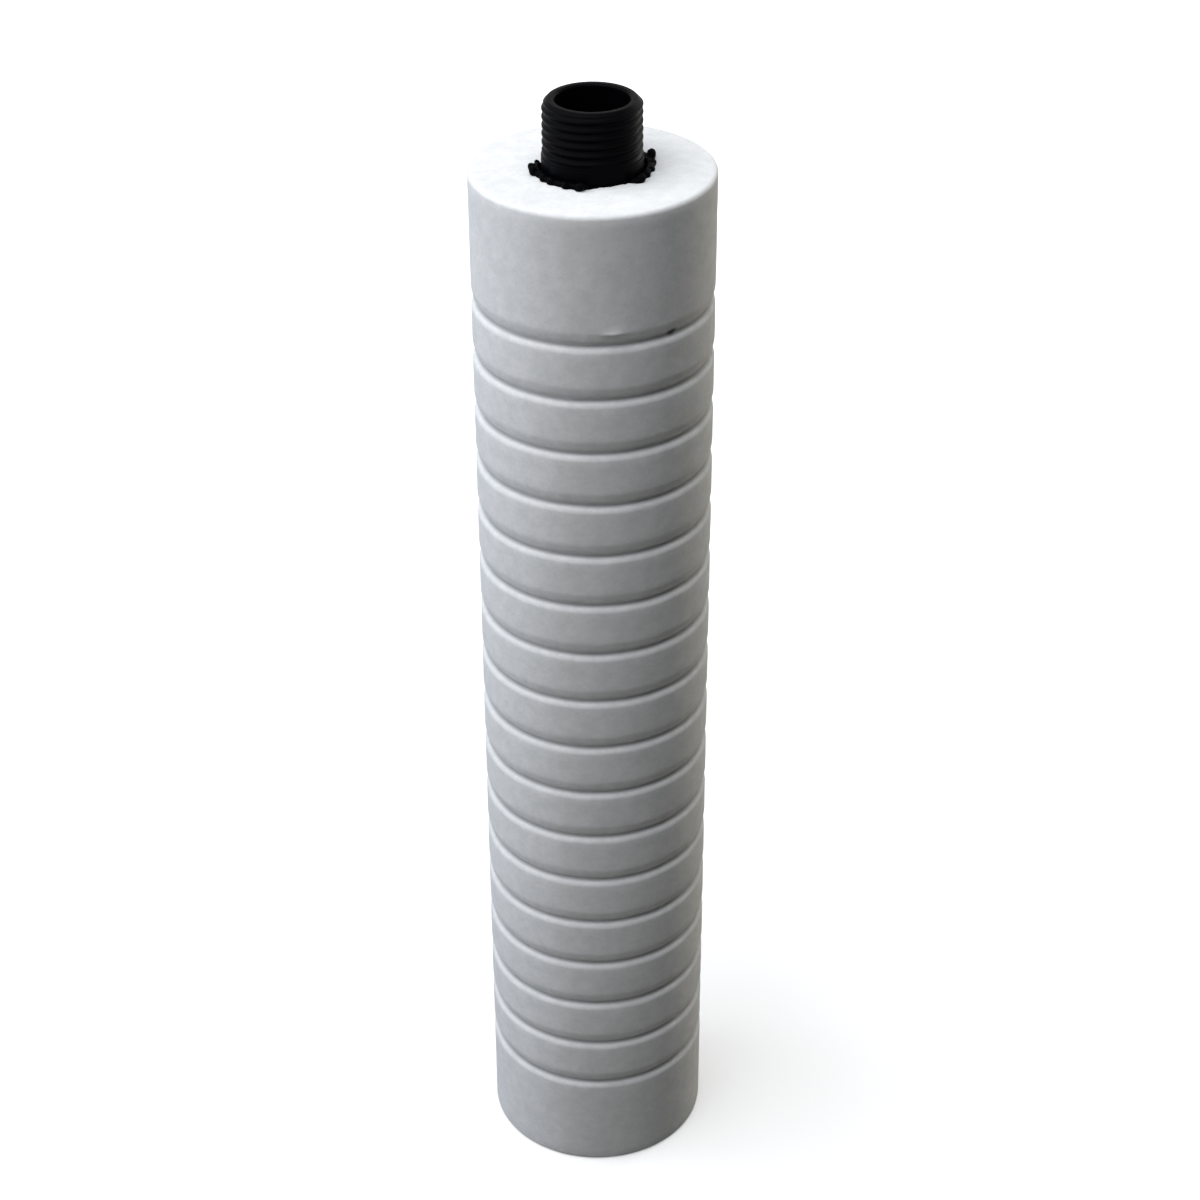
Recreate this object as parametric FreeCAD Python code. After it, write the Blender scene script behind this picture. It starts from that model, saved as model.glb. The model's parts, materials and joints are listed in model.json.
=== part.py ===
"""A grooved melt-blown polypropylene filter cartridge with a threaded pipe nipple at its top.

Millimetres, with +Z up the cartridge. The origin is the middle of the bottom face, on which it stands.
Dirty water goes in through the fibre wall, drains along the net to the pipe's slots, and leaves by the open
nipple. Each function makes one piece, and each piece takes its seat from the one inside it.
"""
import FreeCAD
import Part
import math
import os

# Fibre sleeve
sleeve_od = 52.0
sleeve_length = 254.0
sleeve_rim = 1.0

# Grooves rolled round the sleeve, each with a steep shelf below its bottom and a long slope above it
groove_pitch = 12.5
groove_depth = 1.3
groove_shelf_height = 1.4
groove_slope_height = 3.0
lowest_groove_height = 25.2
top_plain_band = 27.0

# Core pipe, with a half inch pipe thread on its upper end
pipe_od = 21.3
pipe_bore = 15.6
thread_relief = 0.1725
nipple_height = 15.0
unthreaded_foot = 3.0
nipple_chamfer = 1.2
bore_chamfer = 0.4

# Slots through the pipe's wall, each row turned half a step from the last
slot_width = 4.0
slot_length = 18.0
slot_row_pitch = 30.0
slots_per_row = 4
unslotted_foot = 2.0
unslotted_top = 26.0

# Extruded net between pipe and fibre, with its cut edge splayed over the sleeve's top face
net_thickness = 1.0
net_lip_height = 0.6
net_lip_splay = 0.6
strand_end_depth = 0.9
strand_end_width = 1.5
strand_end_taper = 0.8
strand_end_lean = 0.8
first_strand_end_angle = 5.0

# How far each strand end stands out of the net's lip, once round from the first, as the ragged cut left them
strand_end_heights = [
    0.7, 1.5, 0.8, 0.5, 0.9, 0.6, 0.4, 0.8, 0.5, 1.0, 0.7, 0.6,
    0.9, 1.3, 0.9, 0.8, 1.0, 1.3, 0.3, 0.3, 0.4, 1.2, 0.7, 0.5,
]

# Plug in a socket in the pipe's lower end
plug_socket_bore = 16.6
plug_flange_thickness = 3.0
plug_spigot_length = 9.0
plug_spigot_wall = 2.0

# Gap left all round where one round piece sits in another
fit_gap = 0.1

ORIGIN = FreeCAD.Vector(0, 0, 0)
UP = FreeCAD.Vector(0, 0, 1)

sleeve_radius = sleeve_od / 2
pipe_radius = pipe_od / 2
bore_radius = pipe_bore / 2
socket_radius = plug_socket_bore / 2
nipple_radius = pipe_radius - thread_relief
net_inner_radius = pipe_radius + fit_gap
net_outer_radius = net_inner_radius + net_thickness
sleeve_bore_radius = net_outer_radius + fit_gap
plug_top = plug_flange_thickness + plug_spigot_length


def around(angle, radius, height):
    """A point at an angle in degrees round the axis."""
    turn = math.radians(angle)
    return FreeCAD.Vector(radius * math.cos(turn), radius * math.sin(turn), height)


def turned(outline):
    """The solid that a closed outline of (radius, height) points makes when it turns once about the axis."""
    points = [FreeCAD.Vector(radius, 0, height) for radius, height in outline]
    return Part.Face(Part.makePolygon(points + points[:1])).revolve(ORIGIN, UP, 360)


def evenly_spaced(first, spacing, last):
    """Heights from the first one up, as many as fit below the last."""
    return [first + spacing * i for i in range(int((last - first) / spacing) + 1)]


def groove(height):
    """One groove's outline, from its lower lip in along the shelf and out up the slope to its upper lip."""
    return [
        (sleeve_radius, height - groove_shelf_height),
        (sleeve_radius - groove_depth, height),
        (sleeve_radius, height + groove_slope_height),
    ]


def filter_sleeve():
    outline = [(sleeve_bore_radius, 0), (sleeve_radius - sleeve_rim, 0), (sleeve_radius, sleeve_rim)]
    for height in evenly_spaced(lowest_groove_height, groove_pitch, sleeve_length - top_plain_band):
        outline += groove(height)
    outline += [
        (sleeve_radius, sleeve_length - sleeve_rim),
        (sleeve_radius - sleeve_rim, sleeve_length),
        (sleeve_bore_radius, sleeve_length),
    ]
    return turned(outline)


def slot_cutters():
    """Bars that stand out from the axis, each of which cuts one slot."""
    bars = []
    step = 360.0 / slots_per_row
    lowest = plug_top + unslotted_foot
    highest = sleeve_length - unslotted_top - slot_length
    for row, foot in enumerate(evenly_spaced(lowest, slot_row_pitch, highest)):
        for k in range(slots_per_row):
            bar = Part.makeBox(2 * pipe_radius, slot_width, slot_length)
            bar.translate(FreeCAD.Vector(0, -slot_width / 2, foot))
            bar.rotate(ORIGIN, UP, step * (k + 0.5 * (row % 2)))
            bars.append(bar)
    return bars


def core_tube():
    top = sleeve_length + nipple_height
    thread_foot = sleeve_length + unthreaded_foot
    pipe = turned([
        (socket_radius, plug_flange_thickness),
        (pipe_radius, plug_flange_thickness),
        (pipe_radius, thread_foot),
        (nipple_radius, thread_foot),
        (nipple_radius, top - nipple_chamfer),
        (nipple_radius - nipple_chamfer, top),
        (bore_radius + bore_chamfer, top),
        (bore_radius, top - bore_chamfer),
        (bore_radius, plug_top + fit_gap),
        (socket_radius, plug_top + fit_gap),
    ])
    return pipe.cut(slot_cutters())


def end_corners(angle, radius, height, scale):
    """Corners of a strand end's level cross-section, with its middle at an angle and radius."""
    middle = around(angle, radius, height)
    outward = around(angle, scale * strand_end_depth / 2, 0)
    sideways = around(angle + 90, scale * strand_end_width / 2, 0)
    return [
        middle + outward + sideways,
        middle - outward + sideways,
        middle - outward - sideways,
        middle + outward - sideways,
    ]


def strand_end(angle, height):
    """A flat stub on the net's lip, narrower at its tip, that leans out over the sleeve."""
    lip = sleeve_length + net_lip_height
    lip_radius = (net_inner_radius + net_outer_radius) / 2 + net_lip_splay
    tip_radius = lip_radius + strand_end_lean * height
    foot = end_corners(angle, lip_radius, lip, 1)
    tip = end_corners(angle, tip_radius, lip + height, strand_end_taper)
    outlines = [foot, tip] + [[foot[i - 1], foot[i], tip[i], tip[i - 1]] for i in range(4)]
    return Part.Solid(Part.Shell([Part.Face(Part.makePolygon(o + o[:1])) for o in outlines]))


def drain_net():
    lip = sleeve_length + net_lip_height
    wall = turned([
        (net_inner_radius, plug_flange_thickness),
        (net_outer_radius, plug_flange_thickness),
        (net_outer_radius, sleeve_length),
        (net_outer_radius + net_lip_splay, lip),
        (net_inner_radius + net_lip_splay, lip),
        (net_inner_radius, sleeve_length),
    ])
    spacing = 360.0 / len(strand_end_heights)
    ends = [
        strand_end(first_strand_end_angle + spacing * i, height)
        for i, height in enumerate(strand_end_heights)
    ]
    return wall.fuse(ends)


def core_plug():
    spigot_radius = socket_radius - fit_gap
    hollow_radius = spigot_radius - plug_spigot_wall
    return turned([
        (0, 0),
        (net_outer_radius, 0),
        (net_outer_radius, plug_flange_thickness),
        (spigot_radius, plug_flange_thickness),
        (spigot_radius, plug_top),
        (hollow_radius, plug_top),
        (hollow_radius, plug_flange_thickness),
        (0, plug_flange_thickness),
    ])


PIECES = {
    "filter_sleeve": filter_sleeve,
    "core_tube": core_tube,
    "drain_net": drain_net,
    "core_plug": core_plug,
}

os.makedirs("parts", exist_ok=True)
for name, make in PIECES.items():
    piece = make()
    piece.exportStep(f"parts/{name}.step")
    print(name, "valid", piece.isValid(), "solids", len(piece.Solids), "volume", round(piece.Volume, 1))
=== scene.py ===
"""Looks of a grooved melt-blown filter cartridge that stands on a white floor.

Metres, in the CAD model's frame: +Z up the cartridge, with the origin in the middle of its bottom face.
"""

import json
import math

import bmesh
import bpy
from mathutils import Matrix, Vector, noise


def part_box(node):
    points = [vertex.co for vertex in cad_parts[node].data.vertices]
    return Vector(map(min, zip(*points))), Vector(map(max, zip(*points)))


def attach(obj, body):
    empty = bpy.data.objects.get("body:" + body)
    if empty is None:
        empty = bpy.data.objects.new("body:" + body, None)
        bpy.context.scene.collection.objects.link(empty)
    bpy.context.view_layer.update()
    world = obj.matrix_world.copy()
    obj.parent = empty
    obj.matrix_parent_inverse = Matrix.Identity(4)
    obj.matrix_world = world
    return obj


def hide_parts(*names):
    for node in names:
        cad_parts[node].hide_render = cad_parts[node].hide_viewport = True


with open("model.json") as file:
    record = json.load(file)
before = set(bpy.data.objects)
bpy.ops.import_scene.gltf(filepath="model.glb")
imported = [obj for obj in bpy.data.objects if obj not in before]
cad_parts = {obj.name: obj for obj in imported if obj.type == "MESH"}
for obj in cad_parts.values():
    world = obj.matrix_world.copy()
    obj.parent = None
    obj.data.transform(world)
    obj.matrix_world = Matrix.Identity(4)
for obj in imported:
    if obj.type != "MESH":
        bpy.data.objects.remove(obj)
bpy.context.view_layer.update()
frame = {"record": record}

MM = 0.001

# The frame gives each piece its place
SLEEVE_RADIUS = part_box("filter_sleeve")[1].x
SLEEVE_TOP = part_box("filter_sleeve")[1].z
NET_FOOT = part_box("drain_net")[0].z
TUBE_FOOT, TUBE_TOP = (corner.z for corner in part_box("core_tube"))
PIPE_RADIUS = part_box("core_tube")[1].x
PLUG_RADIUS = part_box("core_plug")[1].x
MOUNTS = {mount["name"]: mount for mount in frame["record"]["mounts"]}
THREAD_RADIUS = MOUNTS["core_nipple"]["dims"]["r_mm"] * MM
BORE_RADIUS = MOUNTS["core_bore"]["dims"]["r_mm"] * MM

# Camera, as the photograph was taken, with its angles in degrees
CAMERA_LENS = 76.44
CAMERA_PLACE = Vector((0, -0.494, 0.4557))
CAMERA_DOWN = 31.863
CAMERA_TURN = 0.132
CAMERA_ROLL = -0.25

# Studio
LAMPS_AIM = Vector((0, 0, 0.15))
ROOM_LIGHT = 0.06
FLOOR_REACH = 3.0

# Sleeve
SLEEVE_COLUMNS = 176
SLEEVE_LONGEST_RUN = 2.0 * MM
SLEEVE_BORE_RADIUS = PLUG_RADIUS + 0.1 * MM
SLEEVE_RIM = 1.0 * MM
BORE_RIM = 0.4 * MM

# Grooves rolled round the sleeve. The slope above a groove's bottom bends once on its way out.
GROOVE_COUNT = 17
GROOVE_PITCH = 12.5 * MM
LOWEST_GROOVE = 25.2 * MM
GROOVE_DEPTH = 1.3 * MM
GROOVE_SHELF = 1.0 * MM
GROOVE_SLOPE = 3.0 * MM
BEND_DEPTH = 0.32 * GROOVE_DEPTH
BEND_HEIGHT = 0.42 * GROOVE_SLOPE
LOWER_LIP_ROUND = 1.4 * MM
BEND_ROUND = 1.5 * MM
UPPER_LIP_ROUND = 5.0 * MM

# What the blowing and rolling left uneven. Each lump is its breadth and its height, in millimetres.
LUMPS = [(9, 0.10), (3, 0.05)]
GROOVE_WAVER = 0.12 * MM
STRAIGHT_END = 3.0 * MM

# Painted shade at the grooves' bottoms, from this depth inward, and not in the plain bands at either end
CREASE_SHADE_DEPTH = 0.5 * MM
PLAIN_END = 15.0 * MM

# A dark speck and a loose wisp, both at the top groove
SPECK_PLACE = (15.9 * MM, -19.2 * MM, 225.8 * MM)
WISP_PLACE = Vector((4.1, -25.6, 228.1)) * MM
WISP_OUT = 0.4 * MM
WISP_WIDTH = 1.8 * MM
WISP_HEIGHT = 0.5 * MM
WISP_REACH = 9.0 * MM

# Core pipe, with a half inch pipe thread on its nipple: round crests and roots, shallower than a cut one
PIPE_COLUMNS = 96
THREAD_PITCH = 1.814 * MM
THREAD_DEPTH = 0.640327 * THREAD_PITCH
THREAD_ROUND = 0.137329 * THREAD_PITCH
THREAD_FULLNESS = 0.5
THREAD_ROWS = 16
THREAD_RUNOUT = 0.5 * MM
HALF_V = math.radians(27.5)
THREAD_FOOT = SLEEVE_TOP + 3.0 * MM
NIPPLE_CHAMFER = 1.2 * MM
BORE_CHAMFER = 0.4 * MM
MOUTH_ROUND = 0.1 * MM
PIPE_ROUND = 0.2 * MM
THREAD_FOOT_ROUND = 0.12 * MM
SOCKET_RADIUS = 8.3 * MM
SOCKET_TOP = 12.1 * MM

# Slots through the pipe's wall, each row turned half a step from the last
SLOT_WIDTH = 4.0 * MM
SLOT_LENGTH = 18.0 * MM
SLOT_ROWS = 7
SLOTS_PER_ROW = 4
SLOT_ROW_PITCH = 30.0 * MM
LOWEST_SLOT = 14.0 * MM

# Drain net: as many strands each way, up to a bend, where they splay over the sleeve's top
NET_RADIUS = PIPE_RADIUS + 0.6 * MM
NET_BEND = SLEEVE_TOP - 1.5 * MM
NET_LIP = 0.6 * MM
NET_SPLAY = 0.6 * MM
STRAND_RADIUS = 0.3 * MM
STRAND_LAYER = 0.2 * MM
STRAND_SLANT = math.radians(38)
STRAND_RUN = 2.4 * MM

# The strands' cut ends: their heights are in millimetres and their angles in degrees
END_RADIUS = 0.6 * MM
END_SWELL = 0.3
END_LEAN = 0.8
END_RUNS = 8
FIRST_END_ANGLE = 5.0
END_ASTRAY = 5
END_HEIGHTS = [
    0.7, 1.5, 0.8, 0.5, 0.9, 0.6, 0.4, 0.8, 0.5, 1.0, 0.7, 0.6,
    0.9, 1.3, 0.9, 0.8, 1.0, 1.3, 0.3, 0.3, 0.4, 1.2, 0.7, 0.5,
]

# Where the fibre covers the lip: the middle of each span, half its width, and how it fades, in degrees
COVERED_SPANS = [(45, 20), (160, 20), (290, 30)]
COVER_FADE = 15
COVER_DEPTH = 1.5 * MM
COVER_REACH = 0.9 * MM

# The lip's melted skin
LIP_COLUMNS = 144
LIP_SIDES = 10
MELT_GRAIN = 0.18 * MM
MELT_PASSES = 6
TEAR_SEED = 1
TEAR_SIZE = 1.3
TEAR_DEPTH = 0.22 * MM

# Plug
PLUG_FLANGE = 3.0 * MM
PLUG_TOP = 12.0 * MM
PLUG_WALL = 2.0 * MM
PLUG_DISH = 0.5 * MM
PLUG_DISH_FLOOR = 0.62 * PLUG_RADIUS
PLUG_DISH_RIM = 0.68 * PLUG_RADIUS

# Edges that turn by more than this are drawn sharp
SHARP_TURN = math.radians(35)


def linear(hex_colour):
    """An sRGB hex colour as linear red, green, blue and alpha."""
    values = [int(hex_colour[i:i + 2], 16) / 255 for i in (1, 3, 5)]
    return [v / 12.92 if v <= 0.04045 else ((v + 0.055) / 1.055) ** 2.4 for v in values] + [1.0]


def add(tree, kind, inputs=(), **settings):
    """A new node, with its settings, and for each input a value or the socket that feeds it."""
    made = tree.nodes.new("ShaderNode" + kind)
    for name, value in settings.items():
        setattr(made, name, value)
    for name, value in dict(inputs).items():
        if isinstance(value, bpy.types.NodeSocket):
            tree.links.new(value, made.inputs[name])
        else:
            made.inputs[name].default_value = value
    return made


def new_material(name):
    """An empty node material, its node tree and its output node."""
    material = bpy.data.materials.new(name)
    material.use_nodes = True
    tree = material.node_tree
    tree.nodes.clear()
    return material, tree, add(tree, "OutputMaterial")


def per_mm(size):
    """The texture scale at which one feature is about this many millimetres."""
    return 1 / (size * MM)


def blown_polypropylene():
    """Melt-blown polypropylene: a mat of fine white fibres that bonded as they were wound on.

    The eye gets a dry, chalky white with soft grey specks, and a web drawn out a little round the sleeve.
    Shade is painted into the grooves' creases as a greyer colour.
    """
    material, tree, output = new_material("blown_polypropylene")
    place = add(tree, "TexCoord").outputs["Object"]
    wound = add(tree, "Mapping", {"Vector": place, "Scale": (0.75, 0.75, 1.0)})
    # Real fibres are 0.02 mm thick. The web is drawn at 0.7 mm, so that it shows.
    web = add(tree, "TexNoise", {
        "Vector": wound.outputs["Vector"], "Scale": per_mm(0.7), "Detail": 5.0, "Roughness": 0.6,
        "Distortion": 1.2,
    })
    # Looser and denser tufts, a few millimetres across
    tufts = add(tree, "TexNoise", {
        "Vector": place, "Scale": per_mm(3.2), "Detail": 3.0, "Roughness": 0.55,
    })
    specks = add(tree, "MapRange", {"Value": web.outputs["Fac"], "From Min": 0.3, "From Max": 0.62})
    cloud = add(tree, "MapRange", {"Value": tufts.outputs["Fac"], "From Min": 0.35, "From Max": 0.65})
    fibre = add(tree, "Mix", {
        "Factor": specks.outputs["Result"], "A": linear("#EFF0F0"), "B": linear("#F9F9F9"),
    }, data_type="RGBA")
    tint = add(tree, "Mix", {
        "Factor": cloud.outputs["Result"], "A": linear("#F6F7F7"), "B": linear("#FFFFFF"),
    }, data_type="RGBA")
    white = add(tree, "Mix", {
        "Factor": 1.0, "A": fibre.outputs["Result"], "B": tint.outputs["Result"],
    }, data_type="RGBA", blend_type="MULTIPLY")
    # Sparse grey pits, a millimetre or two across
    loose = add(tree, "TexNoise", {
        "Vector": wound.outputs["Vector"], "Scale": per_mm(1.9), "Detail": 1.0, "Roughness": 0.4,
    })
    pit = add(tree, "MapRange", {"Value": loose.outputs["Fac"], "From Min": 0.6, "From Max": 0.8})
    pitted = add(tree, "Mix", {
        "Factor": pit.outputs["Result"], "A": white.outputs["Result"], "B": linear("#ECEDED"),
    }, data_type="RGBA")
    # Painted shade: the fibre is drawn greyer at the grooves' bottoms, to darken their creases
    flat = add(tree, "VectorMath", {0: place, 1: (1.0, 1.0, 0.0)}, operation="MULTIPLY")
    out = add(tree, "VectorMath", {0: flat.outputs["Vector"]}, operation="LENGTH")
    sunk = add(tree, "MapRange", {
        "Value": out.outputs["Value"],
        "From Min": SLEEVE_RADIUS - GROOVE_DEPTH, "From Max": SLEEVE_RADIUS - CREASE_SHADE_DEPTH,
        "To Min": 1.0, "To Max": 0.0,
    })
    height = add(tree, "SeparateXYZ", {"Vector": place}).outputs["Z"]
    above_middle = add(tree, "Math", {0: height, 1: SLEEVE_TOP / 2}, operation="SUBTRACT")
    off_middle = add(tree, "Math", {0: above_middle.outputs["Value"]}, operation="ABSOLUTE")
    grooved = add(tree, "Math", {
        0: off_middle.outputs["Value"], 1: SLEEVE_TOP / 2 - PLAIN_END,
    }, operation="LESS_THAN")
    crease_shade = add(tree, "Math", {
        0: sunk.outputs["Result"], 1: grooved.outputs["Value"],
    }, operation="MULTIPLY")
    # The grey of the painted crease shade is mixed in here
    crease_shaded = add(tree, "Mix", {
        "Factor": crease_shade.outputs["Value"], "A": pitted.outputs["Result"], "B": linear("#C9CACB"),
    }, data_type="RGBA")
    # A dark speck is drawn in the top groove, at the right of the camera, darkest at its middle
    from_speck = add(tree, "VectorMath", {0: place, 1: SPECK_PLACE}, operation="SUBTRACT")
    squashed = add(tree, "VectorMath", {
        0: from_speck.outputs["Vector"], 1: (1.0, 1.0, 1.5),
    }, operation="MULTIPLY")
    apart = add(tree, "VectorMath", {0: squashed.outputs["Vector"]}, operation="LENGTH")
    dark_speck = add(tree, "MapRange", {
        "Value": apart.outputs["Value"], "From Min": 0.7 * MM, "From Max": 1.7 * MM,
        "To Min": 0.9, "To Max": 0.0,
    })
    skin = add(tree, "Mix", {
        "Factor": dark_speck.outputs["Result"], "A": crease_shaded.outputs["Result"], "B": linear("#4A4640"),
    }, data_type="RGBA")
    coarse = add(tree, "Bump", {
        "Height": tufts.outputs["Fac"], "Strength": 0.2, "Distance": 0.25 * MM,
    })
    fine = add(tree, "Bump", {
        "Height": web.outputs["Fac"], "Strength": 0.3, "Distance": 0.16 * MM,
        "Normal": coarse.outputs["Normal"],
    })
    # Light goes a millimetre or so into the loose fibre, which softens the grooves' shade
    shader = add(tree, "BsdfPrincipled", {
        "Base Color": skin.outputs["Result"], "Roughness": 0.92, "IOR": 1.49,
        "Specular IOR Level": 0.2, "Normal": fine.outputs["Normal"],
        "Subsurface Weight": 0.4, "Subsurface Radius": (1.0, 1.0, 1.0), "Subsurface Scale": 1.5 * MM,
    })
    tree.links.new(shader.outputs["BSDF"], output.inputs["Surface"])
    return material


def black_polypropylene(name, colour, roughness, shine, grain, depth):
    """Moulded or extruded polypropylene, black all through with carbon.

    The eye gets a satin black with a faint pebble. grain and depth are the pebble's size, in millimetres.
    """
    material, tree, output = new_material(name)
    place = add(tree, "TexCoord").outputs["Object"]
    pebble = add(tree, "TexNoise", {
        "Vector": place, "Scale": per_mm(grain), "Detail": 3.0, "Roughness": 0.5,
    })
    scuff = add(tree, "TexNoise", {
        "Vector": place, "Scale": per_mm(4.0), "Detail": 4.0, "Roughness": 0.6,
    })
    dullness = add(tree, "MapRange", {
        "Value": scuff.outputs["Fac"], "From Min": 0.3, "From Max": 0.7,
        "To Min": roughness - 0.06, "To Max": roughness + 0.06,
    })
    skin = add(tree, "Bump", {
        "Height": pebble.outputs["Fac"], "Strength": 0.4, "Distance": depth * MM,
    })
    shader = add(tree, "BsdfPrincipled", {
        "Base Color": linear(colour), "Roughness": dullness.outputs["Result"], "IOR": 1.49,
        "Specular IOR Level": shine, "Normal": skin.outputs["Normal"],
    })
    tree.links.new(shader.outputs["BSDF"], output.inputs["Surface"])
    return material


def looked_at(tree):
    """1 on rays from the camera, straight or by a mirror or through glass, and 0 on the rest."""
    path = add(tree, "LightPath")
    direct = add(tree, "Math", {
        0: path.outputs["Is Camera Ray"], 1: path.outputs["Is Glossy Ray"],
    }, operation="MAXIMUM")
    return add(tree, "Math", {
        0: direct.outputs["Value"], 1: path.outputs["Is Transmission Ray"],
    }, operation="MAXIMUM").outputs["Value"]


def white_paper():
    """Matte white paper. The camera sees it near white, and it throws little light up on the object."""
    material, tree, output = new_material("white_paper")
    away = add(tree, "VectorMath", {0: add(tree, "TexCoord").outputs["Object"]}, operation="LENGTH")
    # The lamps fade away from the object, and the paper's own glow makes up for it
    glow = add(tree, "MapRange", {
        "Value": away.outputs["Value"], "From Min": 0.06, "From Max": 0.6, "To Min": 0.35, "To Max": 1.0,
    })
    seen = add(tree, "BsdfDiffuse", {"Color": linear("#F8F8F8")})
    lift = add(tree, "Emission", {"Color": linear("#FFFFFF"), "Strength": glow.outputs["Result"]})
    bright = add(tree, "AddShader", {0: seen.outputs["BSDF"], 1: lift.outputs["Emission"]})
    quiet = add(tree, "BsdfDiffuse", {"Color": linear("#666460")})
    mixed = add(tree, "MixShader", {
        0: looked_at(tree), 1: quiet.outputs["BSDF"], 2: bright.outputs["Shader"],
    })
    tree.links.new(mixed.outputs["Shader"], output.inputs["Surface"])
    return material


def eased(value):
    """0 below 0, 1 above 1, and a smooth rise between."""
    value = min(max(value, 0), 1)
    return value * value * (3 - 2 * value)


def rounded(corners, steps=5):
    """A closed outline of (radius, height) points, from corners of (radius, height, rounding)."""
    outline = []
    count = len(corners)
    for i, (r, z, rounding) in enumerate(corners):
        corner = Vector((r, z))
        if not rounding:
            outline.append(corner)
            continue
        before = (Vector(corners[i - 1][:2]) - corner).normalized()
        after = (Vector(corners[(i + 1) % count][:2]) - corner).normalized()
        half = before.angle(after) / 2
        centre = corner + (before + after).normalized() * rounding / math.sin(half)
        start = corner + before * rounding / math.tan(half) - centre
        end = corner + after * rounding / math.tan(half) - centre
        turn = start.angle_signed(end)
        for k in range(steps + 1):
            outline.append(centre + Matrix.Rotation(-turn * k / steps, 2) @ start)
    return outline


def divided(outline, longest):
    """The same closed outline, with points added so that no run is longer than this."""
    points = []
    for i, point in enumerate(outline):
        after = outline[(i + 1) % len(outline)]
        runs = max(1, math.ceil((after - point).length / longest))
        points += [point.lerp(after, k / runs) for k in range(runs)]
    return points


def turned(outline, columns, shift=None):
    """Points and faces of a closed outline turned about the axis.

    shift, where it is given, moves each (angle, radius, height).
    """
    points = []
    rows = len(outline)
    for k in range(columns):
        angle = 2 * math.pi * k / columns
        for r, z in outline:
            if shift:
                r, z = shift(angle, r, z)
            points.append((r * math.cos(angle), r * math.sin(angle), z))
    faces = []
    for k in range(columns):
        near = k * rows
        far = (k + 1) % columns * rows
        faces += [(near + j, far + j, far + (j + 1) % rows, near + (j + 1) % rows) for j in range(rows)]
    return points, faces


def tube(path, radii, sides=10):
    """Points and faces of a closed tube along a path, with a radius at each point of it."""
    points = []
    across = Vector((path[0].x, path[0].y, 0)).normalized()
    for i, (centre, radius) in enumerate(zip(path, radii)):
        along = (path[min(i + 1, len(path) - 1)] - path[max(i - 1, 0)]).normalized()
        across = (across - along * across.dot(along)).normalized()
        side = along.cross(across)
        for s in range(sides):
            turn = 2 * math.pi * s / sides
            points.append(centre + (across * math.cos(turn) + side * math.sin(turn)) * radius)
    faces = [tuple(reversed(range(sides)))]
    for i in range(len(path) - 1):
        low = i * sides
        high = low + sides
        for s in range(sides):
            after = (s + 1) % sides
            faces.append((low + s, low + after, high + after, high + s))
    faces.append(tuple(range(len(points) - sides, len(points))))
    return points, faces


def gathered(forms):
    """The points and faces of several forms as those of one."""
    points = []
    faces = []
    for more_points, more_faces in forms:
        faces += [tuple(len(points) + i for i in face) for face in more_faces]
        points += more_points
    return points, faces


def linked(name, data):
    """A new object in the scene."""
    made = bpy.data.objects.new(name, data)
    bpy.context.scene.collection.objects.link(made)
    return made


def applied(piece):
    """The mesh that an object's modifiers make of it."""
    graph = bpy.context.evaluated_depsgraph_get()
    return bpy.data.meshes.new_from_object(piece.evaluated_get(graph))


def mesh_piece(name, points, faces, material):
    """A smooth mesh that rides with the cartridge."""
    mesh = bpy.data.meshes.new(name)
    mesh.from_pydata(points, [], faces)
    mesh.validate()
    mesh.shade_smooth()
    mesh.materials.append(material)
    piece = linked(name, mesh)
    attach(piece, "root")
    return piece


def merged(mesh):
    """Joins points that lie on each other, and turns every face outward."""
    shape = bmesh.new()
    shape.from_mesh(mesh)
    bmesh.ops.remove_doubles(shape, verts=shape.verts, dist=0.001 * MM)
    bmesh.ops.dissolve_degenerate(shape, dist=0.0005 * MM, edges=shape.edges)
    bmesh.ops.recalc_face_normals(shape, faces=shape.faces)
    shape.to_mesh(mesh)
    shape.free()


def sleeve_outline():
    """Up the sleeve's outside, over its grooves, and down its bore."""
    corners = [(SLEEVE_BORE_RADIUS, 0, 0), (SLEEVE_RADIUS, 0, SLEEVE_RIM)]
    for i in range(GROOVE_COUNT):
        z = LOWEST_GROOVE + GROOVE_PITCH * i
        corners += [
            (SLEEVE_RADIUS, z - GROOVE_SHELF, LOWER_LIP_ROUND),
            (SLEEVE_RADIUS - GROOVE_DEPTH, z, 0),
            (SLEEVE_RADIUS - BEND_DEPTH, z + BEND_HEIGHT, BEND_ROUND),
            (SLEEVE_RADIUS, z + GROOVE_SLOPE, UPPER_LIP_ROUND),
        ]
    corners += [(SLEEVE_RADIUS, SLEEVE_TOP, SLEEVE_RIM), (SLEEVE_BORE_RADIUS, SLEEVE_TOP, BORE_RIM)]
    return divided(rounded(corners), SLEEVE_LONGEST_RUN)


def fluffed(angle):
    """1 where the fibre has closed over the net's lip, and 0 elsewhere."""
    turn = math.degrees(angle) % 360
    return max(eased((half - abs(turn - middle)) / COVER_FADE) for middle, half in COVERED_SPANS)


def wisp(place):
    """How far the loose wisp stands out here, at the upper lip of the top groove."""
    off = place - WISP_PLACE
    if off.y > WISP_REACH:
        return 0
    return WISP_OUT * math.exp(-(off.x / WISP_WIDTH) ** 2 - (off.z / WISP_HEIGHT) ** 2)


def uneven_fibre(angle, r, z):
    """The blown skin's slight lumps, the waver of its grooves, and its edge round the pipe."""
    if r <= SLEEVE_BORE_RADIUS + 1 * MM:
        closing = fluffed(angle) * eased((z - SLEEVE_TOP) / COVER_DEPTH + 1)
        return r - COVER_REACH * closing, z
    place = Vector((r * math.cos(angle), r * math.sin(angle), z))
    lump = sum(noise.noise(place * per_mm(size)) * height for size, height in LUMPS)
    r += wisp(place) - abs(lump) * MM
    if STRAIGHT_END < z < SLEEVE_TOP - STRAIGHT_END:
        z += GROOVE_WAVER * noise.noise(Vector((math.cos(angle) * 3, math.sin(angle) * 3, z * per_mm(12))))
    return r, z


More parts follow.
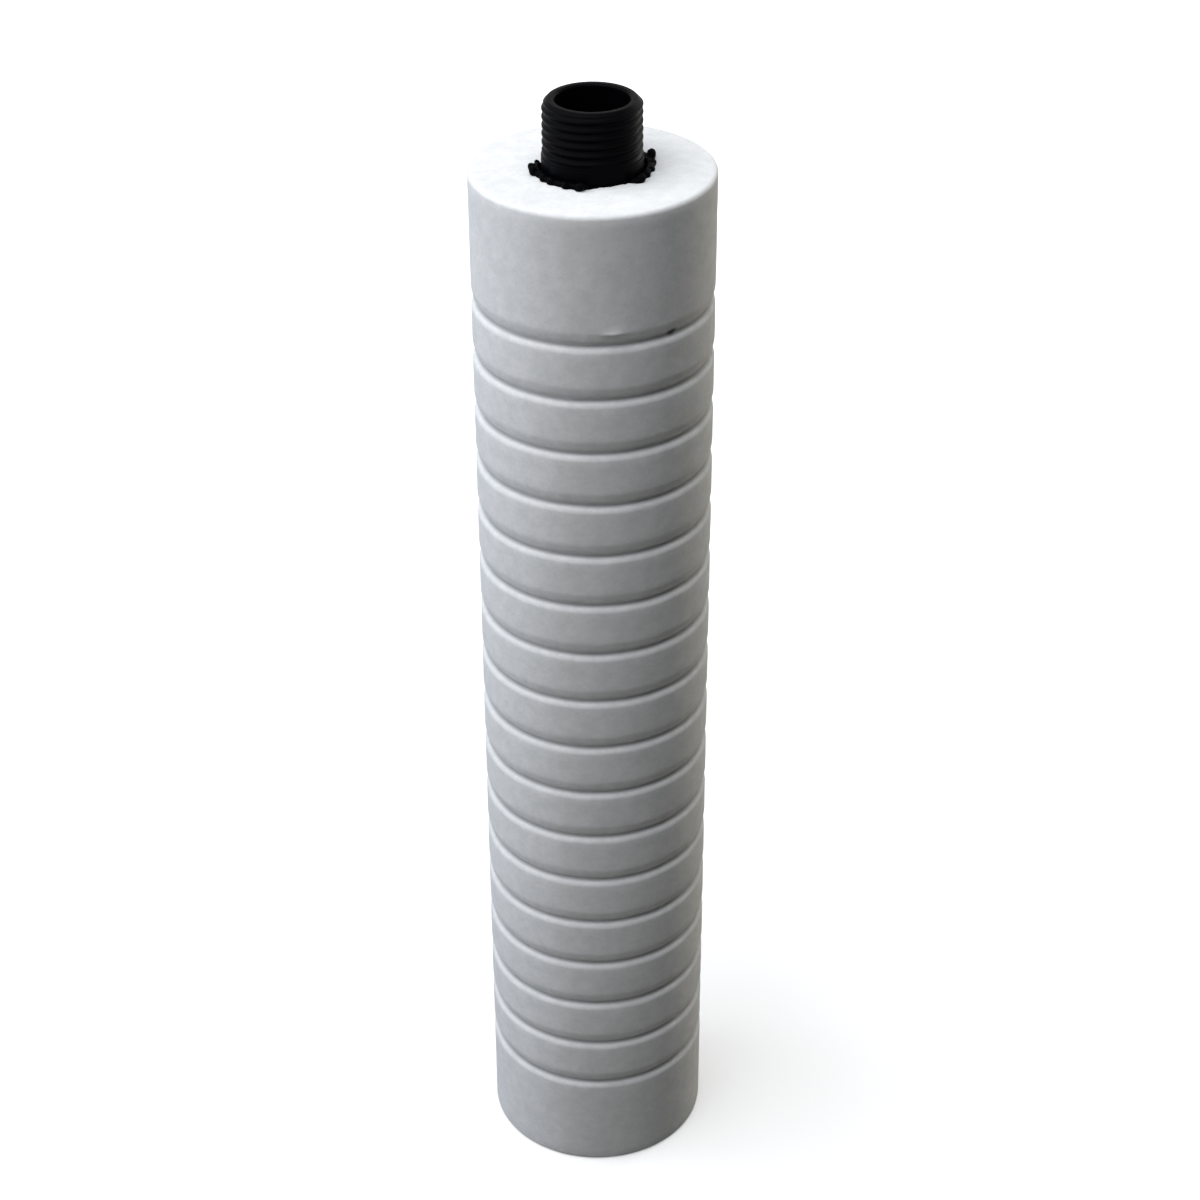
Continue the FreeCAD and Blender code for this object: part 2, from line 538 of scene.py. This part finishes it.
def filter_sleeve(material):
    points, faces = turned(sleeve_outline(), SLEEVE_COLUMNS, uneven_fibre)
    piece = mesh_piece("fibre_sleeve", points, faces, material)
    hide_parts("filter_sleeve")


def thread_depth(turns):
    """How far under its crest the thread lies, this many turns on from the middle of a crest."""
    along = THREAD_PITCH * min(turns % 1, 1 - turns % 1)
    arc = THREAD_ROUND * math.cos(HALF_V)
    if along < arc:
        return THREAD_ROUND - math.sqrt(THREAD_ROUND ** 2 - along ** 2)
    to_root = THREAD_PITCH / 2 - along
    if to_root < arc:
        return THREAD_DEPTH - THREAD_ROUND + math.sqrt(THREAD_ROUND ** 2 - to_root ** 2)
    return THREAD_ROUND * (1 - math.sin(HALF_V)) + (along - arc) / math.tan(HALF_V)


def core_pipe_mesh():
    """The pipe as one closed turned form, whose rows climb with the thread where the thread is."""
    low = THREAD_FOOT
    high = TUBE_TOP - MOUTH_ROUND
    start = low - THREAD_PITCH
    thread_rows = math.ceil((high - start) / THREAD_PITCH * THREAD_ROWS) + 2
    plain = rounded([
        (THREAD_RADIUS - NIPPLE_CHAMFER, TUBE_TOP, MOUTH_ROUND),
        (BORE_RADIUS + BORE_CHAMFER, TUBE_TOP, MOUTH_ROUND),
        (BORE_RADIUS, TUBE_TOP - BORE_CHAMFER, MOUTH_ROUND),
        (BORE_RADIUS, SOCKET_TOP, 0),
        (SOCKET_RADIUS, SOCKET_TOP, 0),
        (SOCKET_RADIUS, TUBE_FOOT, PIPE_ROUND),
        (PIPE_RADIUS, TUBE_FOOT, PIPE_ROUND),
        (PIPE_RADIUS, THREAD_FOOT, THREAD_FOOT_ROUND),
        (THREAD_RADIUS, THREAD_FOOT, 0),
    ], 3)
    points = []
    for k in range(PIPE_COLUMNS):
        turn = k / PIPE_COLUMNS
        column = []
        for j in range(thread_rows):
            turns = j / THREAD_ROWS
            z = min(max(start + THREAD_PITCH * (turns + turn), low), high)
            cut = THREAD_FULLNESS * thread_depth(turns) * eased((z - low) / THREAD_PITCH)
            cone = THREAD_RADIUS - NIPPLE_CHAMFER + TUBE_TOP - z
            r = min(THREAD_RADIUS - cut, cone)
            column.append((r + (cone - r) * eased((z - high) / THREAD_RUNOUT + 1), z))
        column += [tuple(point) for point in plain]
        points += [
            (r * math.cos(2 * math.pi * turn), r * math.sin(2 * math.pi * turn), z)
            for r, z in column
        ]
    faces = []
    rows = thread_rows + len(plain)
    for k in range(PIPE_COLUMNS):
        # The last column meets the first one turn of the thread further up
        last = k == PIPE_COLUMNS - 1
        near = k * rows
        far = 0 if last else near + rows
        climb = THREAD_ROWS if last else 0
        for j in range(rows):
            up = (j + 1) % rows
            ends = [
                far + (min(row + climb, thread_rows - 1) if row < thread_rows else row)
                for row in (j, up)
            ]
            if j == rows - 1:
                ends[1] = far
            faces.append((near + j, ends[0], ends[1], near + up))
    return points, faces


def slot_cutter():
    """One block for each slot, through the pipe's wall."""
    shape = bmesh.new()
    middle = (BORE_RADIUS + PIPE_RADIUS) / 2
    through = PIPE_RADIUS - BORE_RADIUS + 3 * MM
    size = Matrix.Diagonal((through, SLOT_WIDTH, SLOT_LENGTH, 1))
    step = 360 / SLOTS_PER_ROW
    for row in range(SLOT_ROWS):
        z = LOWEST_SLOT + SLOT_ROW_PITCH * row + SLOT_LENGTH / 2
        for k in range(SLOTS_PER_ROW):
            turn = Matrix.Rotation(math.radians(step * (k + 0.5 * (row % 2))), 4, "Z")
            place = turn @ Matrix.Translation((middle, 0, z)) @ size
            bmesh.ops.create_cube(shape, size=1, matrix=place)
    mesh = bpy.data.meshes.new("slot_cutter")
    shape.to_mesh(mesh)
    shape.free()
    return linked("slot_cutter", mesh)


def core_pipe(material):
    points, faces = core_pipe_mesh()
    piece = mesh_piece("core_pipe", points, faces, material)
    merged(piece.data)
    cutter = slot_cutter()
    cut = piece.modifiers.new("slots", "BOOLEAN")
    cut.operation = "DIFFERENCE"
    cut.solver = "EXACT"
    cut.object = cutter
    finished = applied(piece)
    piece.modifiers.clear()
    piece.data = finished
    bpy.data.objects.remove(cutter)
    finished.shade_smooth()
    finished.set_sharp_from_angle(angle=SHARP_TURN)
    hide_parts("core_tube")


def net_strand(index, height):
    """One strand, up the pipe at a slant, and its blunt end, which lies out over the sleeve's face."""
    way = 1 if index % 2 else -1
    astray = END_ASTRAY * noise.noise(Vector((index * 2.3, 4, 0)))
    tip_angle = math.radians(FIRST_END_ANGLE + 360 / len(END_HEIGHTS) * index + astray)
    # Ends that the fibre covers are smaller, lower, and drawn back to the pipe
    covered = fluffed(tip_angle)
    blunt = END_RADIUS + END_SWELL * height + 0.12 * MM * noise.noise(Vector((index * 1.7, 0, 0)))
    blunt *= 1 - 0.4 * covered
    tip = SLEEVE_TOP + NET_LIP + height - blunt - 0.4 * MM * covered
    reach = NET_RADIUS + (NET_SPLAY + END_LEAN * height) * (1 - covered)
    heights = []
    z = NET_FOOT + STRAND_RADIUS
    while z < NET_BEND:
        heights.append(z)
        z += STRAND_RUN
    straight = len(heights)
    heights += [NET_BEND + (tip - NET_BEND) * i / END_RUNS for i in range(END_RUNS + 1)]
    path = []
    radii = []
    for z in heights:
        along = eased((z - NET_BEND) / (tip - NET_BEND))
        out = NET_RADIUS + way * STRAND_LAYER
        out += (reach - out) * along
        angle = tip_angle + way * (z - tip) * math.tan(STRAND_SLANT) / NET_RADIUS
        path.append(Vector((out * math.cos(angle), out * math.sin(angle), z)))
        radii.append(STRAND_RADIUS + (blunt - STRAND_RADIUS) * along)
    # The end closes as half a ball, in these steps of degrees
    end = path[-1]
    ahead = (Vector((end.x, end.y, 0)).normalized() + Vector((0, 0, 0.5))).normalized()
    for step in (30, 55, 75, 88):
        path.append(end + ahead * blunt * math.sin(math.radians(step)))
        radii.append(blunt * math.cos(math.radians(step)))
    overlap = straight + 3
    return tube(path[:overlap], radii[:overlap]), tube(path[straight:], radii[straight:])


def net_lip():
    """The strands' smeared, ragged edge, which the cut left as one uneven ring round the pipe."""
    points = []
    for k in range(LIP_COLUMNS):
        angle = 2 * math.pi * k / LIP_COLUMNS
        around = Vector((math.cos(angle), math.sin(angle), 0))
        rough = noise.noise(around * 7)
        fine = noise.noise(around * 19 + Vector((0, 0, 5)))
        sunk = fluffed(angle)
        # In millimetres: past the splay, over the face, and thick. Each is uneven, and less under fibre.
        past = 0.1 + 0.45 * rough + 0.25 * fine
        over = 0.2 + 0.2 * fine - 0.7 * sunk
        thick = 0.8 + 0.25 * rough - 0.35 * sunk
        centre = around * (NET_RADIUS + (NET_SPLAY + past * MM) * (1 - sunk))
        centre.z = SLEEVE_TOP + over * MM
        for s in range(LIP_SIDES):
            turn = 2 * math.pi * s / LIP_SIDES
            side = around * math.cos(turn) + Vector((0, 0, math.sin(turn)))
            points.append(centre + side * thick * MM)
    faces = []
    for k in range(LIP_COLUMNS):
        near = k * LIP_SIDES
        far = (k + 1) % LIP_COLUMNS * LIP_SIDES
        for s in range(LIP_SIDES):
            after = (s + 1) % LIP_SIDES
            faces.append((near + s, far + s, far + after, near + after))
    return points, faces


def melted(points, faces):
    """One torn skin round forms that run into each other, as the hot blade left them."""
    mesh = bpy.data.meshes.new("melted")
    mesh.from_pydata(points, [], faces)
    lumps = linked("melted", mesh)
    skin = lumps.modifiers.new("skin", "REMESH")
    skin.mode = "VOXEL"
    skin.voxel_size = MELT_GRAIN
    soft = lumps.modifiers.new("soft", "SMOOTH")
    soft.factor = 0.5
    soft.iterations = MELT_PASSES
    whole = applied(lumps)
    bpy.data.objects.remove(lumps)
    # Without a seed, noise_vector starts from the clock
    noise.seed_set(TEAR_SEED)
    torn = [v.co + noise.noise_vector(v.co * per_mm(TEAR_SIZE)) * TEAR_DEPTH for v in whole.vertices]
    return torn, [tuple(face.vertices) for face in whole.polygons]


def drain_net(material):
    strands = [net_strand(index, height * MM) for index, height in enumerate(END_HEIGHTS)]
    lip = melted(*gathered([net_lip()] + [end for strand, end in strands]))
    points, faces = gathered([lip] + [strand for strand, end in strands])
    piece = mesh_piece("net_strands", points, faces, material)
    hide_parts("drain_net")


def core_plug(material):
    spigot = SOCKET_RADIUS - 0.1 * MM
    outline = rounded([
        (0, PLUG_DISH, 0),
        (PLUG_DISH_FLOOR, PLUG_DISH, 0.3 * MM),
        (PLUG_DISH_RIM, 0, 0.3 * MM),
        (PLUG_RADIUS, 0, 0.4 * MM),
        (PLUG_RADIUS, PLUG_FLANGE, 0.2 * MM),
        (spigot, PLUG_FLANGE, 0),
        (spigot, PLUG_TOP, 0.4 * MM),
        (spigot - PLUG_WALL, PLUG_TOP, 0.4 * MM),
        (spigot - PLUG_WALL, PLUG_FLANGE, 0.5 * MM),
        (0, PLUG_FLANGE, 0),
    ])
    points, faces = turned(outline, PIPE_COLUMNS)
    piece = mesh_piece("end_plug", points, faces, material)
    merged(piece.data)
    piece.data.set_sharp_from_angle(angle=SHARP_TURN)
    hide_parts("core_plug")


def photo_camera():
    camera = linked("camera", bpy.data.cameras.new("camera"))
    camera.data.lens = CAMERA_LENS
    aim = Matrix.Rotation(math.radians(-CAMERA_TURN), 4, "Z")
    aim @= Matrix.Rotation(math.radians(90 - CAMERA_DOWN), 4, "X")
    aim @= Matrix.Rotation(math.radians(CAMERA_ROLL), 4, "Z")
    camera.matrix_world = Matrix.Translation(CAMERA_PLACE) @ aim
    bpy.context.scene.camera = camera


def soft_lamp(name, place, width, height, power, colour):
    """A rectangular lamp that faces the cartridge's middle."""
    lamp = linked(name, bpy.data.lights.new(name, "AREA"))
    lamp.data.shape = "RECTANGLE"
    lamp.data.size = width
    lamp.data.size_y = height
    lamp.data.energy = power
    lamp.data.color = linear(colour)[:3]
    lamp.location = place
    lamp.rotation_euler = (LAMPS_AIM - Vector(place)).to_track_quat("-Z", "Y").to_euler()


def studio():
    """Two soft lamps overhead, the larger one to the left, a panel at the left, and a tall one behind."""
    soft_lamp("overhead", (-0.37, -0.16, 0.89), 1.13, 1.13, 10.0, "#F9FBFF")
    soft_lamp("ceiling", (0.22, 0.10, 1.30), 0.40, 0.40, 1.9, "#F2FBFF")
    soft_lamp("left_panel", (-1.83, 0.35, 0.14), 0.47, 0.47, 8.4, "#D8E9FF")
    soft_lamp("right_edge", (1.05, 0.85, 0.25), 0.35, 0.90, 7.5, "#FFF9EA")
    # The room is white to look at, and lights the object only weakly
    world = bpy.data.worlds.new("white_room")
    world.use_nodes = True
    tree = world.node_tree
    tree.nodes.clear()
    output = add(tree, "OutputWorld")
    strength = add(tree, "Math", {0: looked_at(tree), 1: ROOM_LIGHT}, operation="MAXIMUM")
    room = add(tree, "Background", {
        "Color": linear("#FFFFFF"), "Strength": strength.outputs["Value"],
    })
    tree.links.new(room.outputs["Background"], output.inputs["Surface"])
    bpy.context.scene.world = world
    bpy.context.scene.view_settings.view_transform = "Standard"


def floor(material):
    mesh = bpy.data.meshes.new("floor")
    corners = [(FLOOR_REACH * x, FLOOR_REACH * y, 0) for x, y in ((-1, -1), (1, -1), (1, 1), (-1, 1))]
    mesh.from_pydata(corners, [], [(0, 1, 2, 3)])
    mesh.materials.append(material)
    linked("floor", mesh)


photo_camera()
studio()
floor(white_paper())

filter_sleeve(blown_polypropylene())

moulded_black = black_polypropylene(
    "moulded_black_polypropylene", "#030305", roughness=0.42, shine=0.025, grain=0.3, depth=0.02,
)
extruded_black = black_polypropylene(
    "extruded_black_net", "#020203", roughness=0.55, shine=0.025, grain=0.25, depth=0.03,
)
core_pipe(moulded_black)
core_plug(moulded_black)
drain_net(extruded_black)
